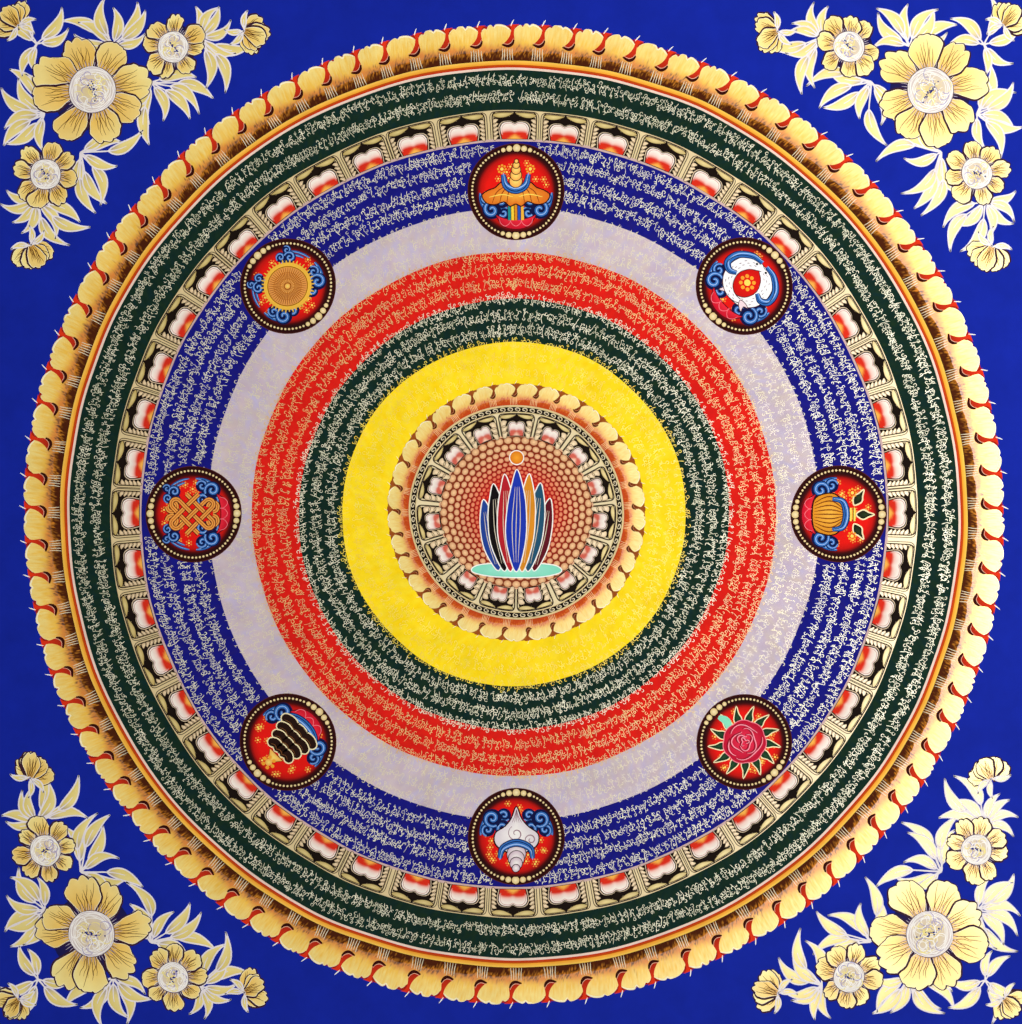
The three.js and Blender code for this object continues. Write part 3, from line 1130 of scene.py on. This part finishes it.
def medallion_frame(film):
    """The dark rim with its circle of beads, larger at the outer and inner ends, round a red ground."""
    film.disc((0, 0), MEDALLION_RADIUS, MAROON, 4, sides=72)
    film.stroke(circle(MEDALLION_RADIUS - 0.3, 72), 0.6, "#4A1A12", 4.2, closed=True)
    middle = (MEDALLION_RADIUS + PICTURE_RADIUS) / 2
    shade = "#D9B878"
    for end in (90, 270):
        for step, radius in ((0, 2.6), (9.6, 2.0), (-9.6, 2.0), (17.6, 1.5), (-17.6, 1.5)):
            film.dots(arc(middle, end + step, end + step, 1), radius, BEAD, 4.3, shade, 12)
    for side in (0, 180):
        film.dots(arc(middle, side - 66, side + 66, 28), 0.8, BEAD, 4.3, shade)
    reaches = PICTURE_RADIUS * np.array((0.02, 0.76, 0.9, 0.99, 1.04))
    tints = (LACQUER, LACQUER, "#BE140E", "#4E0A0A", MAROON)
    film.rows([circle(reach, 60) for reach in reaches], tints, 4.5, closed=True)


def scattered_rosettes(film, rng):
    """Small flowers strewn over the red ground."""
    for k in range(ROSETTES):
        off = PICTURE_RADIUS * math.sqrt(rng.uniform(0.1, 0.8))
        way = rng.uniform(0, TURN)
        spot = (off * math.cos(way), off * math.sin(way))
        film.disc(spot, 0.75, LEMON, 4.7, sides=6)
        for petal in circle(1.75, 6, spot):
            film.disc(petal, rng.uniform(0.45, 0.7), "#EE8A3A", 4.6 + 0.02 * (k % 5), sides=6)


def medallion(index, rng):
    """One emblem in its frame, its foot towards the middle of the mandala, over rosettes and clouds."""
    emblem, seat, clouds = EMBLEMS[index]
    film = Film("medallion_" + emblem.__name__)
    turn = TURN * index / MEDALLIONS
    film.at(about(*(MEDALLION_CENTRE + MEDALLION_RING * compass(turn)[0]), -turn))
    medallion_frame(film)
    scattered_rosettes(film, rng)
    for x, y, size in clouds:
        for way in (-1, 1):
            cloud(film, (way * x, y), size, -way, 4.9)
    film.lift = 0.4  # the seat clears the clouds
    if seat:
        lotus_seat(film, -18.5, 6.1)
    film.lift = 1.0  # and the emblem clears the seat
    emblem(film)
    return film


# The roundel in the middle
def bead_rings(film):
    """Rings of beads that shrink and redden inward, each ring set between the last one's beads."""
    ground = ("#7C3A1E", "#862A18", "#981412", "#B81018", "#C81218")
    film.rings((BEAD_RIM, 42.0, 32.0, 22.0, 0.1), ground, 1.4, ROUNDEL, 120)
    film.ring(INNER_PANEL_FOOT + 0.3, BEAD_RIM, "#E2B088", 1.6, centre=ROUNDEL)
    for k in range(BEAD_RINGS):
        radius = BEAD_OUTER * BEAD_STEP**k
        fade = k / (BEAD_RINGS - 1)
        grow = 1.0 - 0.35 * fade
        bead = circle(1, 10) * (0.455 * grow * TURN * radius / BEADS, 0.046 * grow * radius)
        tint = mix("#F2C892", "#DE281C", 2.8 * (fade - 0.06))
        shade = mix(tint, "#B8562A", 0.55 - 0.5 * fade)
        for i in range(BEADS):
            film.at(around(TURN * (i + 0.5 * (k % 2)) / BEADS, radius, ROUNDEL))
            film.fan(bead, shade, 2, tint)


def lotus_bud(film):
    """Tall coloured petals on a pale green seat, the middle ones in front, with a small sun above."""
    middle = about(*ROUNDEL)
    film.at(middle)
    seat = curve(mirrored([(-14, -44), (-30, -40.5), (-27, -36), (-12, -34.5)]), 5, True)
    film.outlined(seat, "#7FD9B8", WHITE, 0.8, 4, "#A8EBD2")
    leans = (-46, 46, -30, 30, -15, 15, 0)
    sizes = ((6.2, 48), (6.6, 58), (6.4, 64), (6.8, 67))
    tints = ("#22408E", "#5E1420", "#120D0D", "#23506A", "#B4202A", "#D98A22", "#1E35A6")
    half = np.array([(0.3, 0), (1, 0.3), (0.92, 0.62), (0.5, 0.86), (0, 1)])
    for k, (lean, tint) in enumerate(zip(leans, tints)):
        size = sizes[k // 2]
        film.at(within(middle, about(0.27 * lean, -38, math.radians(-0.26 * lean))))
        film.outlined(curve(mirrored(half * size), 4, True), tint, WHITE, 0.75, 4.4 + 0.3 * k)
        for x in (-0.4, 0, 0.4):
            vein = np.array([(0.5 * x, 0.06), (x, 0.45), (0.5 * x, 0.82)]) * size
            film.brush(curve(vein, 4), 0.5, "#D9CBB0", 4.55 + 0.3 * k)
    film.at(middle)
    film.disc((0, 37), 5.2, WHITE, 8, sides=20)
    film.disc((0, 37), 4.5, "#F2A02A", 8.1, "#D9761A", 20)


def roundel():
    film = Film("middle_roundel")
    bead_rings(film)
    lotus_bud(film)
    return film


def paintwork():
    """Every film; the medallions, sprays and pen strokes share one run of random draws."""
    rng = np.random.default_rng(11)
    films = [grounds(), outer_petals(), outer_panels(), inner_rings(), roundel()]
    films += [medallion(k, rng) for k in range(MEDALLIONS)]
    films += [corner_spray("spray_" + name, *sides, rng) for name, sides in SPRAY_CORNERS.items()]
    films += [pen_rows("strokes_on_" + ground, *band, rng) for ground, band in PEN_BANDS.items()]
    return films


# Camera, light and floor
def set_camera():
    camera = bpy.data.cameras.new("camera")
    camera.sensor_fit = "HORIZONTAL"
    camera.sensor_width = SENSOR_WIDTH
    camera.lens = SENSOR_WIDTH * (CAMERA_HEIGHT - THICKNESS) / VIEW_WIDTH
    holder = add_object("camera", camera)
    holder.location = (0, 0, CAMERA_HEIGHT * MM)
    bpy.context.scene.camera = holder


def area_light(name, at, size, power, matte):
    """A soft square light aimed at the middle of the canvas; it lights the matte look or shows as gloss."""
    light = bpy.data.lights.new(name, "AREA")
    light.size = size
    light.energy = power
    holder = add_object(name, light)
    holder.location = at
    holder.rotation_euler = (-holder.location).to_track_quat("-Z", "Y").to_euler()
    holder.visible_diffuse = matte
    holder.visible_glossy = not matte


def set_lights():
    for name, settings in LIGHTS.items():
        area_light(name, *settings)
    world = bpy.data.worlds.new("room")
    world.use_nodes = True
    room = world.node_tree.nodes["Background"]
    room.inputs["Color"].default_value = ROOM_COLOUR
    room.inputs["Strength"].default_value = ROOM_STRENGTH
    bpy.context.scene.world = world
    bpy.context.scene.view_settings.view_transform = "Standard"


def set_floor():
    mesh = bpy.data.meshes.new("floor")
    corners = [(x * FLOOR_REACH, y * FLOOR_REACH, 0) for x, y in ((-1, -1), (1, -1), (1, 1), (-1, 1))]
    mesh.from_pydata(corners, [], [(0, 1, 2, 3)])
    mesh.materials.append(floor_material())
    floor = add_object("floor", mesh)
    floor.location.z = -FLOOR_DROP


sheet = canvas_sheet()
films = [film.piece() for film in paintwork()]
set_floor()
set_camera()
set_lights()
